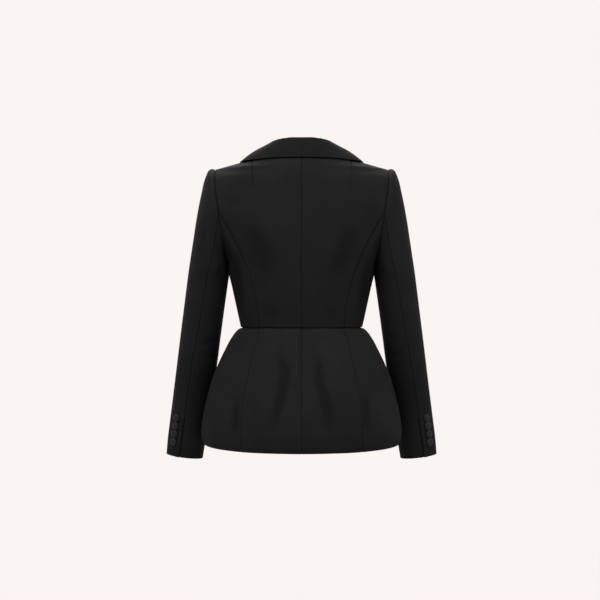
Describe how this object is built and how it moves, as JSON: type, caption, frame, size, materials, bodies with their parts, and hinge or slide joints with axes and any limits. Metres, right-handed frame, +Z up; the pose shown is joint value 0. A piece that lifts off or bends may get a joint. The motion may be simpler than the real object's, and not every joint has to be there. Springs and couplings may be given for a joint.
{
  "type": "peplum jacket",
  "caption": "Tailored jacket with a fitted waist, a flared peplum, notched lapels and long sleeves with buttoned cuffs, filled out as if worn.",
  "frame": {"origin": "middle of the neck, level with the points where the shoulder seams start", "axes": "+Z up, the front faces -Y, +X towards the wearer's left"},
  "size_m": [0.5944, 0.3218, 0.69],
  "materials": {
    "black_wool": "matt, fine plain-woven wool crepe with a soft sheen",
    "covered_button": "satin-covered, a little glossier than the cloth"
  },
  "bodies": {
    "root": {"back_left": "black_wool", "back_right": "black_wool", "side_left": "black_wool", "side_right": "black_wool", "front_left": "black_wool", "front_right": "black_wool", "peplum_back_left": "black_wool", "peplum_back_right": "black_wool", "peplum_side_left": "black_wool", "peplum_side_right": "black_wool", "peplum_front_left": "black_wool", "peplum_front_right": "black_wool", "sleeve_upper_left": "black_wool", "sleeve_upper_right": "black_wool", "sleeve_under_left": "black_wool", "sleeve_under_right": "black_wool", "lapel_left": "black_wool", "lapel_right": "black_wool", "collar": "black_wool", "cuff_button_left_1": "covered_button", "cuff_button_left_2": "covered_button", "cuff_button_left_3": "covered_button", "cuff_button_left_4": "covered_button", "cuff_button_right_1": "covered_button", "cuff_button_right_2": "covered_button", "cuff_button_right_3": "covered_button", "cuff_button_right_4": "covered_button", "front_button_1": "covered_button", "front_button_2": "covered_button", "front_button_3": "covered_button"}
  },
  "joints": []
}
